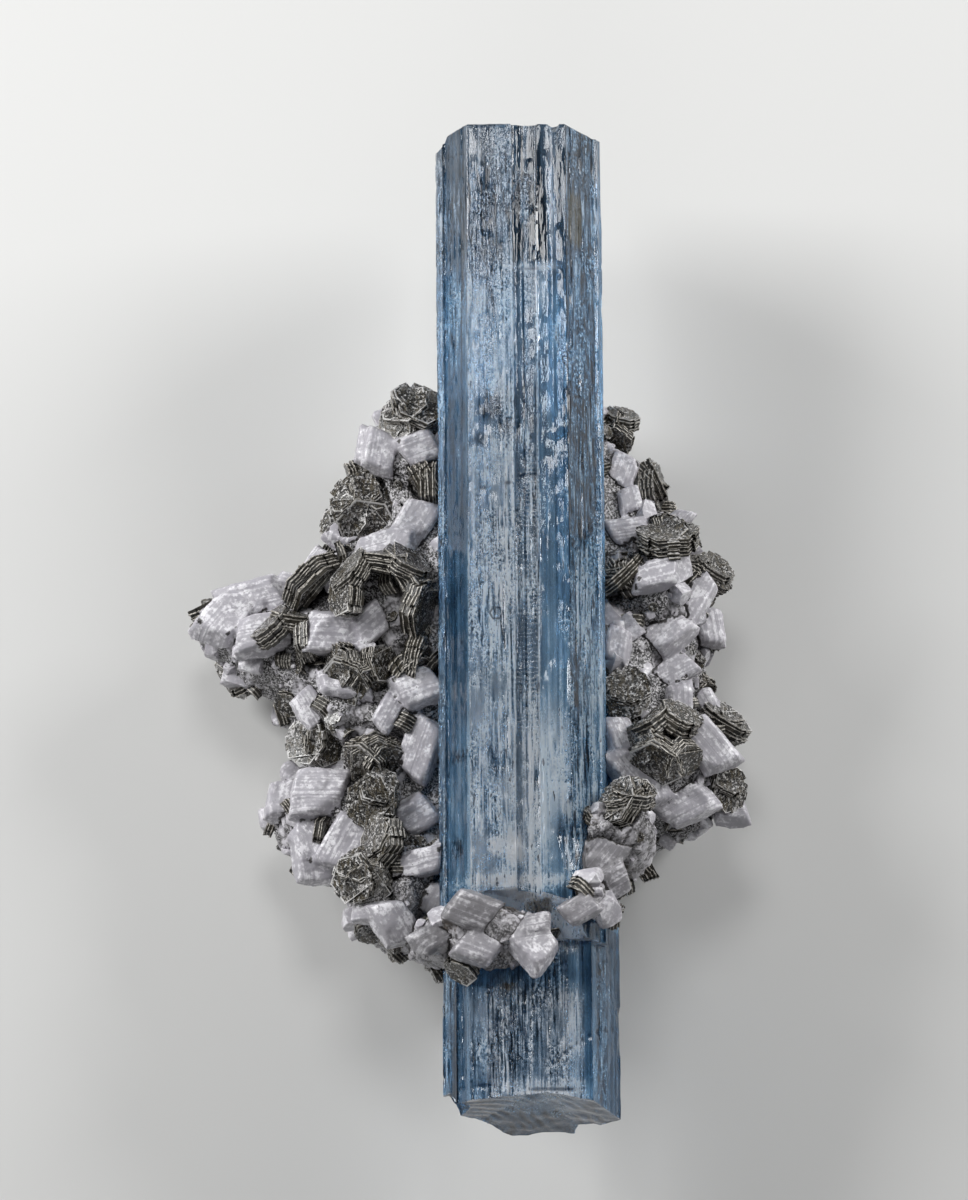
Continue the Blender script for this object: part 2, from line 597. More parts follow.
def clear_of_aquamarine(point):
    """The point itself, or where it leaves the aquamarine if it is inside one of its layers."""
    for corners, (low, high, axis_x, axis_z) in zip(LAYER_CORNERS, LAYER_PLACES):
        place = (point - AXIS) / MM
        x = place.x - axis_x
        z = place.z - axis_z
        if not low - CLEARANCE < place.y < high or x * x + z * z > LAYER_REACH_SQUARED:
            continue
        nearest = None
        if axis_z == AXIS_HEIGHT and place.y < FRONT_LAYER_END + 1:
            middle, radius = BREAK_BALL
            inwards = middle - place
            nearest = (inwards.length - radius + CLEARANCE, inwards.normalized())
            if nearest[0] <= 0:
                continue
        for here, there in zip(corners, corners[1:] + corners[:1]):
            outward = Vector((here[1] - there[1], 0, there[0] - here[0])).normalized()
            depth = CLEARANCE - (x - here[0]) * outward.x - (z - here[1]) * outward.z
            if depth <= 0:
                break
            if nearest is None or depth < nearest[0]:
                nearest = (depth, outward)
        else:
            depth, outward = nearest
            point = point + outward * depth * MM
    return point


def settled(point, lowest=0.0):
    """A point kept out of the aquamarine and above the ground."""
    point = clear_of_aquamarine(point)
    point.z = max(point.z, lowest)
    return point


def albite_relief(place):
    """Height of the sugary grain, in mm, and how deep in a crease the place is, 0 to 1."""
    distances, _ = noise.voronoi(place * 0.62)
    large = min(1.0, (distances[1] - distances[0]) * 1.8)
    distances, _ = noise.voronoi(place * 1.45 + Vector((5, 1, 9)))
    small = min(1.0, (distances[1] - distances[0]) * 1.8)
    rough = noise.noise(place * 2.3)
    return 0.34 * large + 0.20 * small + 0.10 * rough - 0.34, 1 - 0.6 * large - 0.4 * small


ALBITE_WHITE = (0.53, 0.515, 0.545)
ALBITE_SHADE = (0.33, 0.32, 0.355)
ALBITE_BRIGHT = (0.82, 0.81, 0.84)
ALBITE_CLEAR = (0.19, 0.185, 0.195)
CREASE_DARK = (0.016, 0.013, 0.011)
RIM_BROWN = (0.085, 0.062, 0.040)
PEPPER_DARK = (0.009, 0.008, 0.007)
PEPPER_SILVER = (0.55, 0.54, 0.55)
# The line along which the rim of the rock is stained brown: its two ends, and half its width.
STAIN_LINE = (Vector((-11.6, -39.9, 0.0)), Vector((11.8, -31.9, 0.0)), 1.5)
RIM_HALF_WIDTH = 5.5  # of the strip along that line where the albite is greyer and clearer
LAMELLA_SCALE = 2.6  # lamellae of a blade, in the millimetres across it
ALBITE_SHADER = {
    "IOR": 1.53, "Subsurface Radius": (1.0, 0.9, 1.0), "Subsurface Scale": 0.8 * MM,
}  # fmt: skip
GLOW_CLEAN = 0.20  # subsurface weight of clean blades, and of the peppered groundmass
GLOW_PEPPERED = 0.06


def noise_along(value, scale):
    """Noise along one value that is stored on the mesh."""
    look = {"W": value, "Scale": scale, "Detail": 2.0}
    return from_node(value.tree, "TexNoise", look, noise_dimensions="1D")


def albite_material(name, peppered):
    """Albite, either clean blades or groundmass peppered with mica."""
    made, tree, shader = new_material(name, ALBITE_SHADER)
    shader.inputs["Subsurface Weight"].default_value = GLOW_PEPPERED if peppered else GLOW_CLEAN

    cloud = group_node(tree, specks, Size=1.7 * MM, Share=0.5, Softness=0.14, Seed=21.0)
    mottle = group_node(tree, specks, Size=0.42 * MM, Share=0.42, Softness=0.09, Seed=24.0)
    sugar = group_node(tree, specks, Size=0.13 * MM, Share=0.5, Softness=0.14, Seed=27.0)
    crease = attribute(tree, "crease")
    dirt = (crease + (mottle["Height"] - 0.5) * 1.0).between(0.36, 0.70)
    colour = blend_colours(cloud["Mask"] * 0.30, ALBITE_WHITE, ALBITE_SHADE)
    height = mottle["Height"] * 0.6 + sugar["Height"] * 0.4
    if peppered:
        region = group_node(tree, specks, Size=3.5 * MM, Share=0.66, Softness=0.06, Seed=31.0)
        region = region["Mask"] * (attribute(tree, "greyed") * -0.75 + 1.0)
        pepper = group_node(tree, specks, Size=0.36 * MM, Softness=0.03, Seed=34.0, Share=0.64)
        flakes = group_node(tree, specks, Size=0.24 * MM, Softness=0.04, Seed=37.0, Share=0.40)
        colour = blend_colours(mottle["Mask"] * 0.40, colour, ALBITE_BRIGHT)
        stain = (attribute(tree, "stain") + (mottle["Height"] - 0.5) * 1.6).between(0.30, 0.75)
        colour = blend_colours(stain * 0.9, colour, RIM_BROWN)
        colour = blend_colours(dirt * 0.85, colour, CREASE_DARK)
        colour = blend_colours(region * pepper["Mask"] * 0.95, colour, PEPPER_DARK)
        colour = blend_colours(region * flakes["Mask"] * 0.9, colour, PEPPER_SILVER)
        height = height + region * pepper["Height"] * 1.4 + mottle["Height"] * 0.5
    else:
        lines = noise_along(attribute(tree, "across"), LAMELLA_SCALE) - 0.5
        colour = blend_colours(attribute(tree, "tone") * 0.5, colour, ALBITE_SHADE)
        veined = mottle["Height"] * 0.7 + cloud["Height"] * 0.9 + lines * 0.5
        colour = blend_colours(veined.between(0.85, 0.68) * 0.60, colour, ALBITE_SHADE)
        colour = blend_colours(veined.between(0.79, 0.97) * 0.85, colour, ALBITE_BRIGHT)
        clear = attribute(tree, "greyed") * (veined.between(1.0, 0.7) * 0.5 + 0.55)
        colour = blend_colours(clear, colour, ALBITE_CLEAR)
        colour = blend_colours(lines.between(0.05, 0.30) * 0.35, colour, ALBITE_SHADE)
        fleck = group_node(tree, specks, Size=0.30 * MM, Softness=0.03, Seed=51.0, Share=0.10)
        flecked = fleck["Mask"] * cloud["Height"].between(0.45, 0.62) * 0.8
        colour = blend_colours(flecked, colour, PEPPER_DARK)
        stain = (attribute(tree, "stain") + (mottle["Height"] - 0.5) * 1.6).between(0.45, 0.95)
        colour = blend_colours(stain * 0.75, colour, RIM_BROWN)
        colour = blend_colours(dirt * 0.95, colour, CREASE_DARK)
        height = height + lines * 0.9
    rough = mottle["Mask"] * -0.12 + sugar["Mask"] * 0.10 + 0.36
    dress(shader, colour, rough, height, 0.7 if peppered else 0.35, 0.14 * MM)
    return made


def stain_share(place, half_width=STAIN_LINE[2]):
    """How near a place is to the brown line of the rim, 0 to 1."""
    start, end, _ = STAIN_LINE
    line = end - start
    flat = Vector((place.x, place.y, 0.0))
    share = min(1.0, max(0.0, (flat - start).dot(line) / line.length_squared))
    return math.exp(-(((flat - start - line * share).length / half_width) ** 2))


def evened(skin, voxel):
    """The same bmesh, its bodies fused and made of even quads, for a rough skin."""
    mesh = bpy.data.meshes.new("rough")
    skin.to_mesh(mesh)
    skin.free()
    holder = bpy.data.objects.new("rough", mesh)
    bpy.context.scene.collection.objects.link(holder)
    modifier = holder.modifiers.new("even", "REMESH")
    modifier.mode = "VOXEL"
    modifier.voxel_size = voxel
    graph = bpy.context.evaluated_depsgraph_get()
    even = bpy.data.meshes.new_from_object(holder.evaluated_get(graph))
    bpy.data.objects.remove(holder)
    skin = bmesh.new()
    skin.from_mesh(even)
    return skin


rock_skin = evened(merged_copy("albite_matrix"), GRAIN_MESH)
crease_layer = rock_skin.verts.layers.float.new("crease")
stain_layer = rock_skin.verts.layers.float.new("stain")
grey_layer = rock_skin.verts.layers.float.new("greyed")
moves = []
for vert in rock_skin.verts:
    place = (vert.co - AXIS) / MM
    height, crease = albite_relief(place)
    vert[crease_layer] = crease * 0.75
    vert[stain_layer] = stain_share(place)
    vert[grey_layer] = stain_share(place, RIM_HALF_WIDTH)
    moves.append(vert.normal * height * MM)
for vert, move in zip(rock_skin.verts, moves):
    vert.co = settled(vert.co + move)
groundmass = finish_skin("albite_groundmass", rock_skin, albite_material("albite groundmass", True), 180)
hand_over(groundmass, "albite", "albite_matrix")


# ---------------------------------------------------------------------------------------
# Albite blades. Tabular white crystals with worn edges, half sunk in the groundmass and
# grown across each other. Small broken grains of the same feldspar lie between them.

# x, y, length, width, turn of the long side in degrees, as in the solids.
ALBITE_BLADES = (
    (-18.6, 22.8, 5.0, 3.0, 80), (-17.0, 21.9, 5.3, 4.3, 80), (-12.2, 21.9, 4.8, 4.4, 20),
    (-20.8, 12.7, 5.0, 4.4, 40), (-24.6, 8.5, 4.6, 4.2, 60), (-16.5, 9.3, 8.5, 4.2, 15),
    (-12.9, 12.5, 6.0, 4.6, 60), (-32.8, 4.6, 9.0, 5.6, 12), (-36.2, 1.9, 6.4, 5.4, 50),
    (-31.1, -0.4, 7.3, 4.8, 10), (-28.0, 6.6, 4.2, 2.8, -15), (-22.6, -1.2, 7.3, 5.4, 0),
    (-18.2, -0.3, 4.8, 4.4, 40), (-21.4, -7.7, 7.3, 3.2, -10), (-12.6, -8.3, 6.0, 5.1, 20),
    (-12.4, -15.2, 8.0, 5.0, 70), (-16.3, -11.4, 4.6, 3.2, 60), (-25.7, -9.7, 5.0, 3.6, 120),
    (-29.0, -19.9, 5.6, 4.8, 80), (-24.5, -20.3, 6.7, 6.0, 0), (-21.6, -17.0, 7.3, 3.0, -5),
    (-13.0, -23.4, 5.0, 4.8, 30), (-20.9, -26.2, 7.3, 5.8, 60), (-26.0, -25.4, 5.0, 4.4, 130),
    (-12.2, -30.3, 6.0, 3.6, 12), (-10.8, -34.2, 4.4, 3.6, 60), (-6.2, -37.8, 6.2, 4.6, -20),
    (-15.5, -37.4, 6.4, 5.0, -60), (-18.6, -35.6, 4.0, 3.6, 0), (0.9, -41.6, 6.4, 5.2, -50),
    (-5.6, -42.2, 5.0, 4.0, -20), (-11.0, -40.6, 4.8, 3.8, 30), (1.4, -39.4, 3.6, 2.6, 10),
    (6.6, -37.6, 4.4, 3.4, 30), (8.4, -30.6, 7.6, 6.0, 50), (10.5, -33.6, 4.6, 4.1, 30),
    (11.2, 25.9, 3.0, 2.6, 50), (12.4, 20.4, 4.6, 4.1, 70), (13.3, 16.1, 3.8, 3.2, 100),
    (18.2, 13.1, 6.3, 2.6, 45), (13.3, 11.8, 5.8, 3.8, 10), (16.2, 5.3, 6.4, 4.0, 15),
    (21.3, 4.2, 7.3, 3.8, 60), (22.9, 1.6, 5.0, 3.8, 100), (17.4, -0.9, 5.8, 4.8, 40),
    (11.6, -3.0, 5.2, 3.4, 80), (18.5, -5.2, 5.8, 3.6, 30), (19.1, -9.9, 5.5, 3.4, 90),
    (22.4, -8.5, 5.0, 3.6, -60), (11.8, -14.3, 4.8, 3.8, 110), (13.8, -19.5, 9.4, 5.1, -50),
    (22.0, -15.4, 7.3, 4.8, -50), (19.6, -22.3, 6.8, 5.1, 25), (25.2, -21.5, 4.0, 3.6, 0),
    (-25.4, -28.4, 5.0, 4.6, 100),
)  # fmt: skip
BLADE_THICKNESS = 0.62
BLADE_TAPER = 0.8
BLADE_SHEAR = 0.22
BLADE_RISE = 0.12
BLADE_LEAN = 16
BLADE_MESH = 0.24 * MM
SINK_REACH = 1.0 * MM  # how near a blade the rock makes way for it
SINK = 0.5 * MM  # how far below the blade's face it then lies
BLADE_SMOOTHING = 3
BALL_RADIUS = 0.62  # of the ball that a rounded blade tends to, in blade lengths
# Two thirds of the blades carry a second, smaller plate that stands a step off the first.
STEPPED_SHARE = 0.66
STEP_SCALE = (0.66, 0.70, 0.92)
STEP_SHIFT = ((0.10, 0.22), (0.08, 0.20), (0.05, 0.12))
CREASE_REACH = 0.44 * MM  # how near each other rock and blades are dark with mica and dirt
BLADE_COVER = 1.11  # worn blade over the plain block that it stands for
BLADES_PART = -11.5  # x at which the blades are parted in two pieces
BLADE_ROUNDNESS = (0.15, 0.80)  # 0 for a flat-sided block, 1 for a ball
BLADE_SEED = 11
EDGE_BLADES = 12
EDGE_SEED = 7
MATRIX_MIDDLE = Vector((-4.0, -6.0, 0.0))
UP = Vector((0, 0, 1))
SMALL_GRAINS = 760
SMALL_GRAIN_SEED = 23
GRAIN_SIZE = (0.6, 3.2, 2.4)  # smallest, how much larger the largest is, how rare large ones are
GRAIN_LOWEST = 1.5 * MM


def node_corners(node):
    """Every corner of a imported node's mesh, in metres."""
    return np.array([vert.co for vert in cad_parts[node].data.vertices])


def slide_to_corners(points, corners, direction):
    """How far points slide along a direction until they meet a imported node's own corners."""
    slides = []
    for point in points:
        away = corners - np.array(point)
        along = away @ np.array(direction)
        off_line = np.linalg.norm(away - along[:, None] * np.array(direction), axis=1)
        slides.extend(along[off_line < 0.02 * MM])
    return float(np.median(slides)) if slides else None


def side_frame(bearing, height):
    """A frame over MATRIX_MIDDLE at a height, whose Z points outwards along the bearing."""
    angle = math.radians(bearing)
    outwards = Vector((math.cos(angle), math.sin(angle), 0))
    aim = AXIS + MATRIX_MIDDLE * MM + Vector((0, 0, height))
    turned = outwards.to_track_quat("Z", "Y").to_matrix().to_4x4()
    return Matrix.Translation(aim) @ turned, outwards


def worn_block(chance, corner_cut, uneven, roundness=0.0):
    """A worn block: the hull of a cube of side 1 whose corners are cut off unevenly."""
    shape = bmesh.new()
    for x in (-0.5, 0.5):
        for y in (-0.5, 0.5):
            for z in (-0.5, 0.5):
                corner = Vector((x, y, z)) * (1 + chance.uniform(-uneven, uneven))
                for axis in range(3):
                    cut = corner.copy()
                    cut[axis] *= 1 - 2 * chance.uniform(*corner_cut)
                    cut *= 1 + roundness * (BALL_RADIUS / cut.length - 1)
                    shape.verts.new(cut)
    hull = bmesh.ops.convex_hull(shape, input=shape.verts)
    inside = {item for item in hull["geom_interior"] if isinstance(item, bmesh.types.BMVert)}
    loose = {vert for vert in shape.verts if not vert.link_faces}
    bmesh.ops.delete(shape, geom=list(inside | loose), context="VERTS")
    return shape


def join_shapes(target, shape):
    """Adds one bmesh to another, and frees it."""
    mesh = bpy.data.meshes.new("shape")
    shape.to_mesh(mesh)
    shape.free()
    target.from_mesh(mesh)
    bpy.data.meshes.remove(mesh)


def darken_hollows(skin, mesh_step, neighbours, near_share):
    """Stores how far each point lies in a hollow, or close to neighbouring rock, 0 to 1."""
    layer = skin.verts.layers.float.get("crease") or skin.verts.layers.float.new("crease")
    hollow = []
    for vert in skin.verts:
        around = sum((edge.other_vert(vert).co for edge in vert.link_edges), Vector())
        sunk = (around / len(vert.link_edges) - vert.co).dot(vert.normal) / mesh_step
        share = step_between(0.05, 0.22, sunk)
        rock, _, _, distance = neighbours.find_nearest(vert.co, CREASE_REACH)
        if rock is not None and (rock - vert.co).dot(vert.normal) > -0.4 * distance:
            share = max(share, near_share * (1 - 0.6 * distance / CREASE_REACH))
        hollow.append(share)
    skin.verts.index_update()
    for vert in skin.verts:
        around = max(hollow[edge.other_vert(vert).index] for edge in vert.link_edges)
        vert[layer] = max(vert[layer], 0.5 * hollow[vert.index] + 0.5 * around)


def groundmass_tree():
    """The groundmass as it now stands, for finding its nearest point."""
    rock = groundmass.data
    return BVHTree.FromPolygons(
        [vert.co for vert in rock.vertices], [face.vertices for face in rock.polygons]
    )


matrix_corners = node_corners("albite_matrix")
rock_tree = groundmass_tree()
chance = random.Random(EDGE_SEED)
blade_frames = [
    (Matrix.Translation(AXIS + Vector((x, y, 0)) * MM), UP, length, width, turn)
    for x, y, length, width, turn in ALBITE_BLADES
]
for number in range(EDGE_BLADES):
    bearing = (number + chance.uniform(-0.3, 0.3)) * 360 / EDGE_BLADES
    place, outwards = side_frame(bearing, chance.uniform(5.0, 15.0) * MM)
    length = chance.uniform(4.0, 6.5)
    width = length * chance.uniform(0.6, 0.85)
    blade_frames.append((place, outwards, length, width, chance.uniform(0, 180)))

blade_groups = {"left": bmesh.new(), "right": bmesh.new()}
blade_points = []
blade_tones = []
blade_puts = []
blade_widths = []
shape_chance = random.Random(BLADE_SEED)
for place, direction, length, width, turn in blade_frames:
    thickness = width * BLADE_THICKNESS
    shear = chance.choice((-1, 1)) * BLADE_SHEAR
    lean = Euler(
        [math.radians(chance.uniform(-BLADE_LEAN, BLADE_LEAN)) for _ in "xy"] + [math.radians(turn)]
    )
    put = (
        place
        @ Matrix.Translation((0, 0, thickness * BLADE_RISE * MM))
        @ lean.to_matrix().to_4x4()
        @ Matrix.Diagonal((length * MM, width * MM, thickness * MM, 1))
    )
    corners = []
    for x in (-0.5, 0.5):
        for y in (-0.5, 0.5):
            corners.append(put @ Vector((x * BLADE_TAPER + shear * y * BLADE_TAPER, y * BLADE_TAPER, 0.5)))
    slide = slide_to_corners(corners, matrix_corners, direction)
    if slide is None:
        hit = rock_tree.ray_cast(place.to_translation() + direction * 0.1, -direction)[0]
        slide = (hit - place.to_translation()).dot(direction) if hit else 0.0
    roundness = shape_chance.uniform(*BLADE_ROUNDNESS)
    block = worn_block(shape_chance, (0.10, 0.50), 0.10, roundness)
    if shape_chance.random() < STEPPED_SHARE:
        step = worn_block(shape_chance, (0.10, 0.45), 0.06, roundness)
        shift = Vector(shape_chance.choice((-1, 1)) * shape_chance.uniform(*reach) for reach in STEP_SHIFT)
        for vert in step.verts:
            vert.co = Vector(part * scale for part, scale in zip(vert.co, STEP_SCALE)) + shift
        join_shapes(block, step)
    for vert in block.verts:
        x, y, z = vert.co * BLADE_COVER
        narrow = 1 - (1 - BLADE_TAPER) * min(1.0, max(0.0, z + 0.5))
        flat = Vector(((x + shear * y) * narrow, y * narrow, z))
        vert.co = put @ flat + direction * slide
    for vert in block.verts:
        blade_points.append((vert.co.copy(), len(blade_tones)))
    middle = sum((vert.co for vert in block.verts), Vector()) / len(block.verts)
    blade_points.append((middle, len(blade_tones)))
    blade_tones.append(shape_chance.random())
    blade_puts.append((Matrix.Translation(direction * slide) @ put).inverted())
    blade_widths.append(width)
    side = "left" if place.translation.x < AXIS.x + BLADES_PART * MM else "right"
    join_shapes(blade_groups[side], block)

nearest_blade = KDTree(len(blade_points))
for number, (point, _) in enumerate(blade_points):
    nearest_blade.insert(point, number)
nearest_blade.balance()
blade_skins = {}
for side, blades in blade_groups.items():
    blades = evened(blades, BLADE_MESH)
    for _ in range(BLADE_SMOOTHING):
        bmesh.ops.smooth_vert(
            blades, verts=blades.verts, factor=0.5, use_axis_x=True, use_axis_y=True, use_axis_z=True
        )
    blades.normal_update()
    tone_layer = blades.verts.layers.float.new("tone")
    across_layer = blades.verts.layers.float.new("across")
    stain_layer = blades.verts.layers.float.new("stain")
    grey_layer = blades.verts.layers.float.new("greyed")
    moves = []
    for vert in blades.verts:
        place = (vert.co - AXIS) / MM
        blade = blade_points[nearest_blade.find(vert.co)[1]][1]
        vert[tone_layer] = blade_tones[blade]
        vert[stain_layer] = stain_share(place) * step_between(-0.9, 0.3, -vert.normal.z)
        vert[grey_layer] = stain_share(place, RIM_HALF_WIDTH)
        vert[across_layer] = (blade_puts[blade] @ vert.co).y * blade_widths[blade] + blade * 9
        dent = 0.07 * noise.noise(place * 0.5) + 0.03 * noise.noise(place * 1.7)
        cleave = noise.noise(place * 1.1 + Vector((3, 8, 1)))
        dent += 0.05 * step_between(0.16, 0.20, cleave) - 0.02
        moves.append(vert.normal * dent * MM)
    for vert, move in zip(blades.verts, moves):
        vert.co = settled(vert.co + move)
    blade_skins[side] = blades

# The rock makes way for the blades, so that only the seams between them show it.
blade_trees = [BVHTree.FromBMesh(skin) for skin in blade_skins.values()]
crease_values = groundmass.data.attributes["crease"].data
buried = []
for vert in groundmass.data.vertices:
    sunk = None
    nearest_distance = CREASE_REACH
    for tree in blade_trees:
        hit, outwards, _, distance = tree.find_nearest(vert.co, SINK_REACH)
        if hit is None:
            continue
        height = (vert.co - hit).dot(outwards)
        if outwards.dot(vert.normal) > 0.25 or height < 0:
            sunk = hit - outwards * SINK if height > -SINK else vert.co.copy()
        nearest_distance = min(nearest_distance, distance)
    buried.append(sunk)
    if sunk is None and nearest_distance < CREASE_REACH:
        crease = crease_values[vert.index]
        crease.value = max(crease.value, 1 - 0.6 * nearest_distance / CREASE_REACH)
for vert, sunk in zip(groundmass.data.vertices, buried):
    if sunk is not None:
        vert.co = settled(sunk)
groundmass.data.update()
rock_tree = groundmass_tree()
blade_paint = albite_material("albite blade", False)
for side, skin in blade_skins.items():
    darken_hollows(skin, BLADE_MESH, rock_tree, 0.9)
    hand_over(finish_skin(f"albite_blades_{side}", skin, blade_paint, 180), "albite")

faces = groundmass.data.polygons
areas = np.cumsum([face.area if buried[face.vertices[0]] is None else 0 for face in faces])


def drawn_face(chance):
    """A face of the groundmass that no blade buries, drawn by its area."""
    return faces[int(np.searchsorted(areas, chance.uniform(0, areas[-1])))]


grain_chance = random.Random(SMALL_GRAIN_SEED)
grains = bmesh.new()
for _ in range(SMALL_GRAINS):
    face = drawn_face(grain_chance)
    if face.center.z < GRAIN_LOWEST:
        continue
    size = (GRAIN_SIZE[0] + GRAIN_SIZE[1] * grain_chance.random() ** GRAIN_SIZE[2]) * MM
    turned = Euler([grain_chance.uniform(0, math.tau) for _ in "xyz"]).to_matrix().to_4x4()
    stretch = Matrix.Diagonal(
        (size, size * grain_chance.uniform(0.5, 0.9), size * grain_chance.uniform(0.35, 0.7), 1)
    )
    block = worn_block(grain_chance, (0.1, 0.5), 0.12)
    put = Matrix.Translation(face.center) @ turned @ stretch
    for vert in block.verts:
        vert.co = settled(put @ vert.co)
    join_shapes(grains, block)
albite_grains = finish_skin("albite_grains", grains, blade_paint, 40)
hand_over(albite_grains, "albite")


# ---------------------------------------------------------------------------------------
# Muscovite. Books of thin six-sided mica leaves, silvery on their faces and dark brown
# through their edges. The leaves of a book split apart, so dark gaps show between them.

# Node, x, y, ring radius, book radius, book thickness, number of books, first book's
# bearing, step between books, and their lean from lying flat, as in the solids.
MICA_CLUSTERS = (
    ("mica_top_left", -13.0, 25.8, 1.6, 3.3, 1.0, 3, 60, 62, 32),
    ("mica_shoulder", -19.0, 15.2, 1.8, 3.3, 1.2, 4, 60, 70, 40),
    ("mica_beside_left", -11.9, 17.2, 0.5, 2.8, 1.4, 2, 5, 30, 84),
    ("mica_left_rosette", -16.6, 2.6, 4.4, 3.4, 1.3, 6, -14, 38, 66),
    ("mica_left_diagonal", -24.4, 5.0, 0.9, 4.0, 1.5, 2, 128, 16, 80),
    ("mica_wing", -28.4, -1.9, 2.3, 3.0, 1.3, 3, 10, 62, 58),
    ("mica_bowl", -19.8, -5.2, 2.0, 2.9, 1.2, 4, 185, 58, 52),
    ("mica_beside_middle", -14.2, -4.6, 1.0, 3.2, 1.3, 3, -60, 22, 78),
    ("mica_belly", -17.9, -15.3, 1.4, 3.4, 1.2, 3, 240, 34, 56),
    ("mica_left_tip", -25.0, -13.4, 0.9, 3.0, 1.4, 2, 200, 120, 24),
    ("mica_ledge", -17.6, -21.6, 0.8, 3.0, 1.2, 2, 75, 150, 18),
    ("mica_lower_left", -16.2, -28.0, 1.0, 3.4, 1.3, 2, 150, 26, 62),
    ("mica_corner", -18.8, -31.6, 1.0, 3.0, 1.3, 3, 120, 80, 34),
    ("mica_right_top", 12.2, 26.6, 1.2, 2.4, 1.1, 3, 80, 84, 48),
    ("mica_right_strips", 14.8, 18.8, 0.9, 3.0, 1.7, 3, 4, 20, 74),
    ("mica_right_slab", 17.8, 9.4, 0.8, 4.2, 1.3, 2, 96, 24, 50),
    ("mica_right_point", 22.4, 7.4, 1.2, 2.7, 1.4, 3, 14, 34, 52),
    ("mica_fan", 12.4, 5.2, 0.2, 3.2, 1.0, 4, 20, 38, 78),
    ("mica_right_face", 12.6, -9.2, 0.5, 3.0, 1.3, 2, 80, 140, 14),
    ("mica_right_diagonal", 23.8, -12.0, 1.4, 3.0, 1.3, 3, 30, 24, 66),
    ("mica_right_rosette", 17.3, -15.4, 2.7, 3.0, 1.2, 5, 60, 62, 62),
    ("mica_right_low", 23.8, -19.6, 0.7, 2.6, 1.2, 2, -30, 70, 42),
    ("mica_rim_right", 12.8, -24.6, 1.0, 3.0, 1.2, 3, 80, 40, 56),
)
# The same on the sides: bearing round the matrix and height, then as above.
MICA_ON_SIDES = (
    ("mica_side_left", 172, 6.0, 0.8, 2.6, 1.2, 3, 20, 100, 50),
    ("mica_side_below", 282, 9.0, 1.2, 3.2, 1.3, 3, 10, 110, 34),
    ("mica_side_right", 352, 8.0, 1.2, 3.0, 1.2, 3, 50, 90, 40),
    ("mica_side_upper_left", 128, 9.5, 1.2, 3.0, 1.3, 3, 70, 85, 44),
)
BOOK_VARIES = 0.18
BOOK_SWINGS = 9
BOOK_SEED = 5
BOOK_TAPER = 0.93
BOOK_RISE = 0.35
# A book is drawn as dark packets of leaves, each closed by one bright leaf that stands out.
PACKET = (0.20, 0.46)
BRIGHT_LEAF = (0.08, 0.15)
BRIGHT_STANDS_OUT = 0.11
LEAF_ROUND = 0.72  # 0 for a plain hexagon, 1 for a round leaf
BOOK_SWELL = 1.5  # thickness of a book in leaves, over the solid that it stands for
LEAF_TILTS = (1.2, 1.2, 2.0)  # usual turns of a leaf in its book, in degrees
LEAF_OVERLAP = 0.03
LEAF_LOWEST = 0.05 * MM
LEAF_SEED = 31
SMALL_BOOKS = 300
SMALL_BOOK_RADIUS = (0.9, 2.3)
SMALL_BOOK_THICKNESS = (0.7, 1.7)
SMALL_BOOK_LOWEST = 2.5 * MM
SMALL_BOOK_SEED = 53
LOOSE_FLAKES = 300
FLAKE_RADIUS = (0.5, 1.5)
FLAKE_THICKNESS = 0.3
FLAKE_LOWEST = 1.2 * MM
FLAKE_SEED = 37

MICA_DARK = (0.010, 0.009, 0.007)
MICA_OLIVE = (0.075, 0.064, 0.045)
MICA_SILVER = (0.40, 0.39, 0.39)
MICA_BRIGHT = (0.80, 0.79, 0.78)
MICA_EDGE = (0.56, 0.53, 0.48)
MICA_SHADER = {"IOR": 1.6, "Specular IOR Level": 0.45, "Metallic": 0.0}
GROWTH_RINGS = 9.0  # scale of the rings on a leaf's face, over its radius


def mica_material():
    """Silvery, peppered faces with growth rings, and dark edges between bright leaves."""
    made, tree, shader = new_material("muscovite", MICA_SHADER)
    leaf = attribute(tree, "leaf")
    rim = attribute(tree, "rim")
    pepper = group_node(tree, specks, Size=0.36 * MM, Share=0.5, Softness=0.03, Seed=41.0)
    fine = group_node(tree, specks, Size=0.15 * MM, Share=0.45, Softness=0.05, Seed=44.0)
    cloud = group_node(tree, specks, Size=2.2 * MM, Share=0.5, Softness=0.1, Seed=47.0)
    streak = stretched_noise(tree, 0.40 * MM, (1.0, 0.3, 0.5), 49.0)
    outwards = attribute(tree, "outwards")
    ring = (noise_along(outwards, GROWTH_RINGS) - 0.5).math("ABSOLUTE").between(0.05, 0.015)
    silvery = (cloud["Height"] - 0.3 + (streak - 0.5) * 0.8).between(0.1, 0.4)
    flecked = (fine["Height"] * 0.5 + streak * 0.6).between(0.54, 0.64)
    peppered = (pepper["Height"] * 0.7 + streak * 0.5).between(0.57, 0.64)
    face = blend_colours(silvery, MICA_OLIVE, MICA_SILVER)
    face = blend_colours(flecked * 0.9, face, MICA_BRIGHT)
    face = blend_colours(peppered * 0.97, face, MICA_DARK)
    face = blend_colours(ring * 0.8, face, MICA_DARK)
    face = blend_colours(outwards.between(0.90, 0.96) * 0.7, face, MICA_BRIGHT)
    packet = blend_colours(cloud["Mask"] * 0.45, MICA_DARK, MICA_OLIVE)
    bright = blend_colours(pepper["Mask"] * 0.7, MICA_EDGE, MICA_OLIVE)
    side = blend_colours(leaf, packet, bright)
    colour = blend_colours(rim, face, side)
    rough = fine["Mask"] * 0.2 + rim * 0.1 + 0.22
    height = pepper["Height"] + fine["Height"] * 0.5
    dress(shader, colour, rough, height, 0.6, 0.12 * MM)
    return made


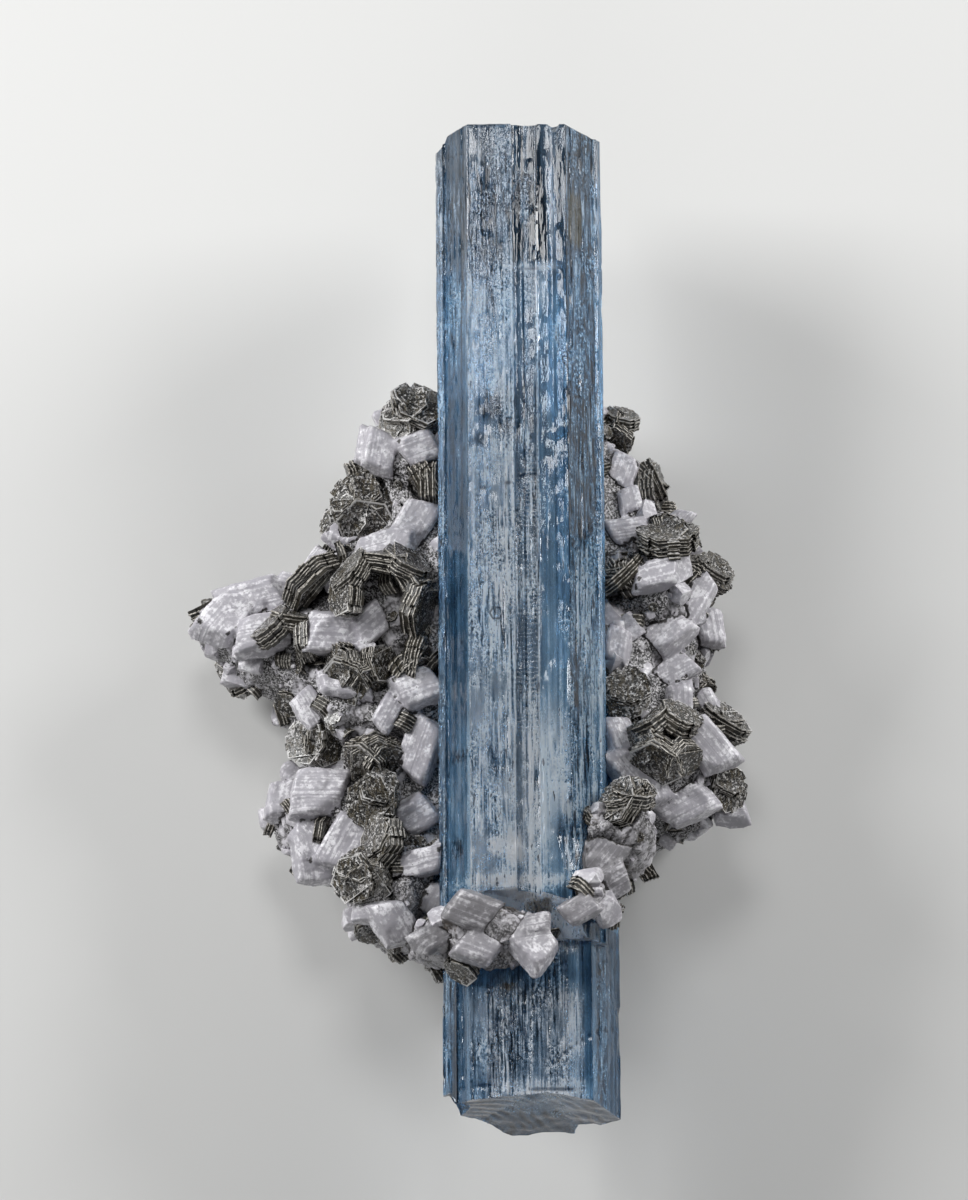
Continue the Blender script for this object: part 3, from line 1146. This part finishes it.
def mica_leaf(radius, thickness, bend, bright, outline, chance):
    """One leaf or packet of mica: a ragged six-sided sheet, bent, standing on its frame's floor."""
    leaf = bmesh.new()
    bmesh.ops.create_circle(leaf, cap_ends=False, segments=6, radius=radius)
    bmesh.ops.subdivide_edges(leaf, edges=leaf.edges, cuts=2)
    for vert in leaf.verts:
        vert.co *= 1 + LEAF_ROUND * (radius / vert.co.length - 1)
        push = 0.94 + 0.12 * noise.noise(Vector((*(vert.co.xy / radius * 1.8), outline)))
        vert.co *= push + chance.uniform(-0.015, 0.015)
    sheet = leaf.faces.new(leaf.verts)
    middle = bmesh.ops.poke(leaf, faces=[sheet])
    grown = bmesh.ops.extrude_face_region(leaf, geom=middle["faces"])["geom"]
    raised = [item for item in grown if isinstance(item, bmesh.types.BMVert)]
    bmesh.ops.translate(leaf, verts=raised, vec=(0, 0, thickness))
    bmesh.ops.recalc_face_normals(leaf, faces=leaf.faces)
    rim = leaf.faces.layers.float.new("rim")
    tone = leaf.faces.layers.float.new("leaf")
    outwards = leaf.verts.layers.float.new("outwards")
    for face in leaf.faces:
        face[rim] = float(abs(face.normal.z) < 0.5)
        face[tone] = bright
    for vert in leaf.verts:
        vert[outwards] = vert.co.xy.length / radius
        vert.co.z += bend * (vert.co.x / radius) ** 2 * radius
    return leaf


def mica_book(target, put, radius, thickness, bend, chance):
    """Adds a book to a piece: dark packets of leaves, closed by bright leaves that stand out."""
    outline = chance.uniform(0, 90)
    height = -thickness / 2
    while height < thickness / 2:
        tilt = Euler([math.radians(chance.gauss(0, spread)) for spread in LEAF_TILTS])
        packet = chance.uniform(*PACKET)
        bright = chance.uniform(*BRIGHT_LEAF)
        across = Vector((chance.gauss(0, 0.06), chance.gauss(0, 0.06), 0))
        size = radius * chance.uniform(0.93, 1.0)
        for low, deep, reach, share in (
            (height, packet, size, 0.0),
            (height + packet - LEAF_OVERLAP, bright, size + BRIGHT_STANDS_OUT, 1.0),
        ):
            leaf = mica_leaf(reach * MM, deep * MM, bend, share, outline, chance)
            shift = Matrix.Translation((across + Vector((0, 0, low))) * MM)
            whole = put @ shift @ tilt.to_matrix().to_4x4()
            for vert in leaf.verts:
                vert.co = settled(whole @ vert.co, LEAF_LOWEST)
            join_shapes(target, leaf)
        height += packet + bright - LEAF_OVERLAP


def new_mica():
    """An empty bmesh with the three values that every leaf stores."""
    target = bmesh.new()
    target.faces.layers.float.new("rim")
    target.faces.layers.float.new("leaf")
    target.verts.layers.float.new("outwards")
    return target


def book_frames(place, ring, radius, count, first, step, lean, draw):
    """A cluster's books, set round a ring and leaning outwards: frame and radius of each."""
    for number in range(count):
        swing = [draw.uniform(-BOOK_SWINGS, BOOK_SWINGS) for _ in "abc"]
        bearing = math.radians(first + number * step + swing[0])
        outwards = Vector((math.cos(bearing), math.sin(bearing), 0))
        put = (
            place
            @ Matrix.Translation(outwards * ring + Vector((0, 0, radius * BOOK_RISE)))
            @ Matrix.Rotation(bearing, 4, "Z")
            @ Matrix.Rotation(math.radians(lean + swing[1]), 4, "Y")
            @ Matrix.Rotation(math.radians(17 * number + swing[2]), 4, "Z")
        )
        yield put, radius * (1 + draw.uniform(-BOOK_VARIES, BOOK_VARIES))


mica = mica_material()
draw = random.Random(BOOK_SEED)
leaf_chance = random.Random(LEAF_SEED)
clusters = [
    (name, Matrix.Translation(AXIS + Vector((x, y, 0)) * MM), UP, sizes)
    for name, x, y, *sizes in MICA_CLUSTERS
]
clusters += [
    (name, *side_frame(bearing, height * MM), sizes) for name, bearing, height, *sizes in MICA_ON_SIDES
]
for name, place, direction, (ring, radius, thickness, *arrangement) in clusters:
    books = list(book_frames(place, ring * MM, radius * MM, *arrangement, draw))
    corners = []
    for put, book_radius in books:
        plate = bmesh.new()
        bmesh.ops.create_cone(
            plate,
            cap_ends=True,
            segments=6,
            radius1=book_radius,
            radius2=book_radius * BOOK_TAPER,
            depth=thickness * MM,
            matrix=put,
        )
        corners += [vert.co.copy() for vert in plate.verts]
        plate.free()
    slide = slide_to_corners(corners, node_corners(name), direction)
    if slide is None:
        low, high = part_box(name)
        slide = ((low + high) / 2 - sum(corners, Vector()) / len(corners)).dot(direction)
    cluster = new_mica()
    for put, book_radius in books:
        bend = leaf_chance.choice((-1, 1)) * leaf_chance.uniform(0.05, 0.26)
        lifted = Matrix.Translation(direction * slide) @ put
        mica_book(cluster, lifted, book_radius / MM, thickness * BOOK_SWELL, bend, leaf_chance)
    piece = finish_skin(f"{name}_leaves", cluster, mica, 30)
    hand_over(piece, "muscovite", name)

# Small books that fill the seams between the blades, on edge, in curved swarms.
books = new_mica()
book_chance = random.Random(SMALL_BOOK_SEED)
for _ in range(SMALL_BOOKS):
    face = drawn_face(book_chance)
    place = (face.center - AXIS) / MM
    if face.center.z < SMALL_BOOK_LOWEST:
        continue
    swarm = math.tau * noise.noise(place * 0.11 + Vector((2, 5, 0)))
    angle = swarm + book_chance.gauss(0, 0.25)
    flat = Vector((math.cos(angle), math.sin(angle), book_chance.gauss(0, 0.35)))
    put = Matrix.Translation(face.center) @ flat.to_track_quat("Z", "Y").to_matrix().to_4x4()
    mica_book(
        books,
        put @ Matrix.Rotation(book_chance.uniform(0, math.tau), 4, "Z"),
        book_chance.uniform(*SMALL_BOOK_RADIUS),
        book_chance.uniform(*SMALL_BOOK_THICKNESS),
        book_chance.choice((-1, 1)) * book_chance.uniform(0.05, 0.30),
        book_chance,
    )
mica_seams = finish_skin("mica_seams", books, mica, 30)
hand_over(mica_seams, "muscovite")

# Loose leaves, strewn over the groundmass.
flakes = new_mica()
flake_chance = random.Random(FLAKE_SEED)
for _ in range(LOOSE_FLAKES):
    face = drawn_face(flake_chance)
    if face.center.z < FLAKE_LOWEST:
        continue
    lean = Euler([flake_chance.gauss(0, 0.9) for _ in "xyz"]).to_matrix()
    along = (lean @ face.normal).to_track_quat("Z", "Y").to_matrix().to_4x4()
    put = Matrix.Translation(face.center) @ along
    mica_book(flakes, put, flake_chance.uniform(*FLAKE_RADIUS), FLAKE_THICKNESS, 0.1, flake_chance)
mica_flakes = finish_skin("mica_flakes", flakes, mica, 30)
hand_over(mica_flakes, "muscovite")


# ---------------------------------------------------------------------------------------
# The setting: a plain pale floor, soft studio lamps, and the camera, which looks down
# on the specimen as it lies on its back.

FLOOR_HALF = 1.6
floor_shape = bmesh.new()
bmesh.ops.create_grid(floor_shape, x_segments=1, y_segments=1, size=FLOOR_HALF)
floor_look = {"Base Color": (0.62, 0.62, 0.61, 1), "Roughness": 0.8}
floor = finish_skin("floor", floor_shape, new_material("pale floor", floor_look)[0], 180)

LAMPS = (
    # name, bearing, elevation, distance, size, watts
    ("left", 155, 34, 0.50, 0.22, 2.5),
    ("right", 28, 30, 0.50, 0.22, 1.9),
    ("top", 95, 66, 0.60, 0.16, 0.75),
    ("front", 262, 30, 0.60, 0.25, 0.40),
)
for name, bearing, elevation, distance, size, watts in LAMPS:
    lamp = bpy.data.lights.new(name, "AREA")
    lamp.shape = "SQUARE"
    lamp.size = size
    lamp.energy = watts
    holder = bpy.data.objects.new(name, lamp)
    towards = Vector((1, 0, 0))
    towards.rotate(Euler((0, -math.radians(elevation), math.radians(bearing))))
    holder.location = towards * distance
    holder.rotation_euler = towards.to_track_quat("Z", "Y").to_euler()
    bpy.context.scene.collection.objects.link(holder)

SKY_COLOUR = (0.75, 0.78, 0.82, 1)
SKY_STRENGTH = 0.065
world = bpy.data.worlds.new("studio")
world.use_nodes = True
sky = world.node_tree.nodes["Background"]
sky.inputs["Color"].default_value = SKY_COLOUR
sky.inputs["Strength"].default_value = SKY_STRENGTH
bpy.context.scene.world = world
bpy.context.scene.view_settings.view_transform = "Standard"

CAMERA_AIM = (-4.55, 2.45, 25.0)
CAMERA_DISTANCE = 900.0
CAMERA_TILT = 14.0  # from straight down
CAMERA_ROLL = -0.4
CAMERA_LENS = 223.2
camera = bpy.data.objects.new("camera", bpy.data.cameras.new("camera"))
camera.data.lens = CAMERA_LENS
camera.data.sensor_width = 36.0
camera.data.clip_start = 0.05
camera.matrix_world = (
    Matrix.Translation(AXIS + Vector(CAMERA_AIM) * MM)
    @ Matrix.Rotation(math.radians(CAMERA_TILT), 4, "X")
    @ Matrix.Rotation(math.radians(CAMERA_ROLL), 4, "Z")
    @ Matrix.Translation((0, 0, CAMERA_DISTANCE * MM))
)
bpy.context.scene.collection.objects.link(camera)
bpy.context.scene.camera = camera
